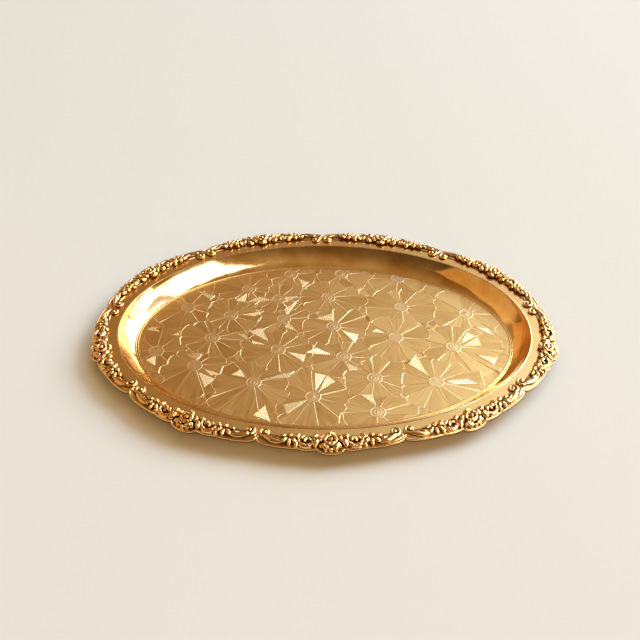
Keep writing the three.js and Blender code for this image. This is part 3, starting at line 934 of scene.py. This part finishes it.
# Skin of a casting: all its pieces fused and slightly rounded, as metal leaves the mould.
SKIN = 0.21
bpy.ops.object.select_all(action="DESELECT")
for piece in casting_pieces:
    piece.select_set(True)
bpy.context.view_layer.objects.active = band
bpy.ops.object.join()
bpy.ops.object.transform_apply(location=True, rotation=True, scale=True)
apply_modifier(band, "REMESH", mode="VOXEL", voxel_size=SKIN)
apply_modifier(band, "SMOOTH", factor=0.5, iterations=2)

# Chiselling: the ornament between the scrolls is worked over by hand, so it is slightly uneven.
CHISEL_REACH = 31
CHISEL_LOW = 1
CHISEL_EDGE = 1.4
CHISEL_SIZE = 1.4
CHISEL_DEPTH = 0.8
straight = points_of(band)
from_edge = band_out(straight[:, 0]) - straight[:, 1]
carved = (np.abs(straight[:, 0]) < CHISEL_REACH) & (straight[:, 2] > CHISEL_LOW) & (from_edge > CHISEL_EDGE)
worked = band.vertex_groups.new(name="worked")
worked.add(np.flatnonzero(carved).tolist(), 1, "REPLACE")
chisel = bpy.data.textures.new("chisel", "CLOUDS")
chisel.noise_scale = CHISEL_SIZE
apply_modifier(band, "DISPLACE", texture=chisel, vertex_group=worked.name, strength=CHISEL_DEPTH,
               mid_level=0.5)

# Painted shade: how far each point lies under its surroundings, kept to paint dark brown shade into the
# recesses of the gilding.
CELL = 0.3
SPREAD = 5
RECESS_START = 0.3
RECESS_DEPTH = 1.5
LINE_CLEAR = 1.2
LINE_FADE = 1.6
SKIRT_EDGE = 1
SKIRT_TOP = 0.6
SKIRT_SHADE_RISE = 0.6
SKIRT_SHADE_MOST = 0.55
straight = points_of(band)
places = np.floor((straight[:, :2] - straight[:, :2].min(0)) / CELL).astype(int) + SPREAD
tops = np.zeros(places.max(0) + SPREAD + 1)
np.maximum.at(tops, (places[:, 0], places[:, 1]), straight[:, 2])
around = tops
for axis in (0, 1):
    around = sum(np.roll(around, shift, axis) for shift in range(-SPREAD, SPREAD + 1)) / (2 * SPREAD + 1)
shade_mask = np.clip((around[places[:, 0], places[:, 1]] - straight[:, 2] + RECESS_START) / RECESS_DEPTH, 0, 1)
from_edge = band_out(straight[:, 0]) - straight[:, 1]
shade_mask *= np.clip((from_edge - LINE_CLEAR) / LINE_FADE, 0, 1)
# Painted shadow: the low outer side, which faces the shadowed table, is darkened too.
skirt_shade = np.clip((SKIRT_TOP - straight[:, 2]) * SKIRT_SHADE_RISE, 0, SKIRT_SHADE_MOST)
shade_mask = np.where(from_edge < SKIRT_EDGE, np.maximum(shade_mask, skirt_shade), shade_mask)
attribute = band.data.attributes.new("shade_mask", "FLOAT", "POINT")
attribute.data.foreach_set("value", shade_mask.astype(np.float32))
bpy.ops.object.shade_smooth()

# Finish of the castings: burnished on the high parts, with dark brown painted shade in the recesses and on
# the low outer side.
CAST = (0.76, 0.395, 0.115, 1)
CAST_PALE = (0.91, 0.58, 0.24, 1)
SHADE_BROWN = (0.11, 0.038, 0.007, 1)
SHADE_CLOUD = 0.2
SHADE_START = 0.19
SHADE_RISE = 2.9
SHADE_SOFT = 0.1
SHADE_ROUGHNESS = (0.35, 0.07)
cast_gilt = gilt_material("cast_gilt")
band.data.materials.append(cast_gilt)
tree = cast_gilt.node_tree
cloud = cloud_of(tree)
shade_attribute = add_node(tree, "ShaderNodeAttribute", attribute_name="shade_mask")
# painted shade: the gold turns dark brown where the mask marks recesses and the low outer side
painted_shade = sum_of(tree, "MULTIPLY_ADD", cloud, SHADE_CLOUD, shade_attribute.outputs["Fac"])
painted_shade = sum_of(tree, "MULTIPLY", sum_of(tree, "SUBTRACT", painted_shade, SHADE_START), SHADE_RISE)
painted_shade = sum_of(tree, "MAXIMUM", sum_of(tree, "SMOOTH_MIN", painted_shade, 1.0, SHADE_SOFT), 0.0)
metal = mix_colour(tree, cloud, CAST, CAST_PALE)
feed(tree, mix_colour(tree, painted_shade, metal, SHADE_BROWN), "Base Color")
feed(tree, sum_of(tree, "MULTIPLY_ADD", painted_shade, *SHADE_ROUGHNESS), "Roughness")

# Copies of the casting: each is laid along the border line by its length and seated on the flange.
for number in range(REPEATS):
    run = (number * PITCH + straight[:, 0]) * MM % border_run[-1]
    turn = np.interp(run, border_run, rim_turns)
    out = straight[:, 1] * MM
    spots = np.stack([LIP_X * np.cos(turn), LIP_Y * np.sin(turn)], -1) + rim_normal(turn) * out[:, None]
    placed = np.column_stack([spots, flange_top(out) + straight[:, 2] * MM])
    casting = bpy.data.objects.new("cast_border_%d" % (number + 1), band.data.copy())
    bpy.context.scene.collection.objects.link(casting)
    casting.data.vertices.foreach_set("co", placed.ravel())
    casting.data.update()
    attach(casting, "root")
    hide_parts("border_casting_%d" % (number + 1))
bpy.data.objects.remove(band)

# Stage: a plain pale table top of matt paper, under the tray.
# It runs out of the picture on every side.
PAPER = (0.60, 0.632, 0.565, 1)
PAPER_ROUGHNESS = 0.9
PAPER_SHEEN = 0.1
TABLE_SIZE = 30
bpy.ops.object.select_all(action="DESELECT")
bpy.ops.mesh.primitive_plane_add(size=TABLE_SIZE, location=(0, 0, 0))
table_top = bpy.context.object
table_top.name = "table_top"
paper = bpy.data.materials.new("pale_paper")
paper.use_nodes = True
shader = paper.node_tree.nodes["Principled BSDF"]
shader.inputs["Base Color"].default_value = PAPER
shader.inputs["Roughness"].default_value = PAPER_ROUGHNESS
shader.inputs["Specular IOR Level"].default_value = PAPER_SHEEN
table_top.data.materials.append(paper)

# Light: soft panels, cool from the right and warm from the front and top, light the table and its shadow.
# Other panels are only mirrored by the metal: windows on the right, and a lamp and a warm wall on the left.
# The room round them is brown, dark to the front and bright high up at the back on the right.
AIM = Vector((0, 0, LIP_HEIGHT))
PANEL_FAR = 5.2
DAYLIGHT = (0.93, 1.0, 1.1)


def light_panel(name, turn, rise, width, height, radiance, colour, on_metal):
    """A panel of light at an angle to the right of straight back and a rise over the table, in degrees."""
    turn, rise = math.radians(turn), math.radians(rise)
    way = Vector((math.sin(turn) * math.cos(rise), math.cos(turn) * math.cos(rise), math.sin(rise)))
    panel = bpy.data.objects.new(name, bpy.data.lights.new(name, "AREA"))
    panel.data.shape = "RECTANGLE"
    panel.data.size, panel.data.size_y = width, height
    panel.data.energy = radiance * width * height * math.pi
    panel.data.color = colour
    panel.location = AIM + way * PANEL_FAR
    panel.rotation_euler = way.to_track_quat("Z", "Y").to_euler()
    panel.visible_diffuse = not on_metal
    panel.visible_glossy = on_metal
    bpy.context.scene.collection.objects.link(panel)


PANELS = (
    # name, turn, rise, width, height, radiance, colour, and whether only the metal mirrors it
    ("soft_key", 66, 36, 3.0, 3.0, 8.0, (0.9, 1, 1.12), False),
    ("soft_front", 168, 42, 5.6, 3.2, 2.8, (1, 0.56, 0.26), False),
    ("soft_top", 10, 75, 3.2, 3.2, 1.6, (1, 0.82, 0.62), False),
    ("key_window", 58, 42, 1.3, 1.2, 16.0, DAYLIGHT, True),
    ("front_window", 118, 36, 3.6, 4.2, 4.6, DAYLIGHT, True),
    ("side_window", 80, 18, 3.2, 2.8, 4.6, DAYLIGHT, True),
    ("back_window", 43, 16, 3.0, 2.8, 5.0, DAYLIGHT, True),
    ("warm_lamp", -40, 14, 3.4, 2.2, 0.5, (1, 0.46, 0.1), True),
    ("warm_wall", -96, 25, 6.8, 4.4, 0.6, (1, 0.66, 0.32), True),
)
for panel in PANELS:
    light_panel(*panel)
BRIGHT_CORNER = (0.55, 0.5, 0.67)
WALLS = (
    # share of the way from the dark corner at the front to the bright one, and colour
    (0.0, (0.03, 0.02, 0.01)), (0.45, (0.2, 0.125, 0.053)), (0.55, (0.32, 0.195, 0.082)),
    (0.68, (0.44, 0.295, 0.135)), (0.84, (0.33, 0.21, 0.095)), (0.905, (0.35, 0.23, 0.13)),
    (0.95, (0.76, 0.79, 0.86)), (0.975, (1.8, 2.4, 3.8)), (1.0, (1.9, 2.5, 4.0)),
)
world = bpy.data.worlds.new("room")
bpy.context.scene.world = world
world.use_nodes = True
room = world.node_tree
look = add_node(room, "ShaderNodeTexCoord")
towards = add_node(room, "ShaderNodeVectorMath", operation="DOT_PRODUCT")
towards.inputs[1].default_value = BRIGHT_CORNER
room.links.new(look.outputs["Generated"], towards.inputs[0])
ramp = add_node(room, "ShaderNodeValToRGB")
for place, _ in WALLS[1:-1]:
    ramp.color_ramp.elements.new(place)
for stop, (place, colour) in zip(ramp.color_ramp.elements, WALLS):
    stop.position = place
    stop.color = (*colour, 1)
room.links.new(sum_of(room, "MULTIPLY_ADD", towards.outputs["Value"], 0.5, 0.5), ramp.inputs["Fac"])
room.links.new(ramp.outputs["Color"], room.nodes["Background"].inputs["Color"])
room.nodes["Background"].inputs["Strength"].default_value = 1

# Camera: the photo's view, from the front and above.
# It is held slightly turned, and its lens is shifted so that the tray lies where it does in the photo.
AZIMUTH = math.radians(-2.81)
ELEVATION = math.radians(41)
ROLL = math.radians(1.76)
DISTANCE = 0.73
LENS = 57.61
SENSOR = 36
LENS_SHIFT = (-0.0086, 0.0125)
back_way = Vector((math.sin(AZIMUTH) * math.cos(ELEVATION), -math.cos(AZIMUTH) * math.cos(ELEVATION),
                   math.sin(ELEVATION)))
camera = bpy.data.objects.new("camera", bpy.data.cameras.new("camera"))
camera.data.lens = LENS
camera.data.sensor_width = SENSOR
camera.data.shift_x, camera.data.shift_y = LENS_SHIFT
camera.location = AIM + back_way * DISTANCE
facing = back_way.to_track_quat("Z", "Y").to_matrix() @ Matrix.Rotation(ROLL, 3, "Z")
camera.rotation_euler = facing.to_euler()
bpy.context.scene.collection.objects.link(camera)
bpy.context.scene.camera = camera
bpy.context.scene.view_settings.view_transform = "Standard"
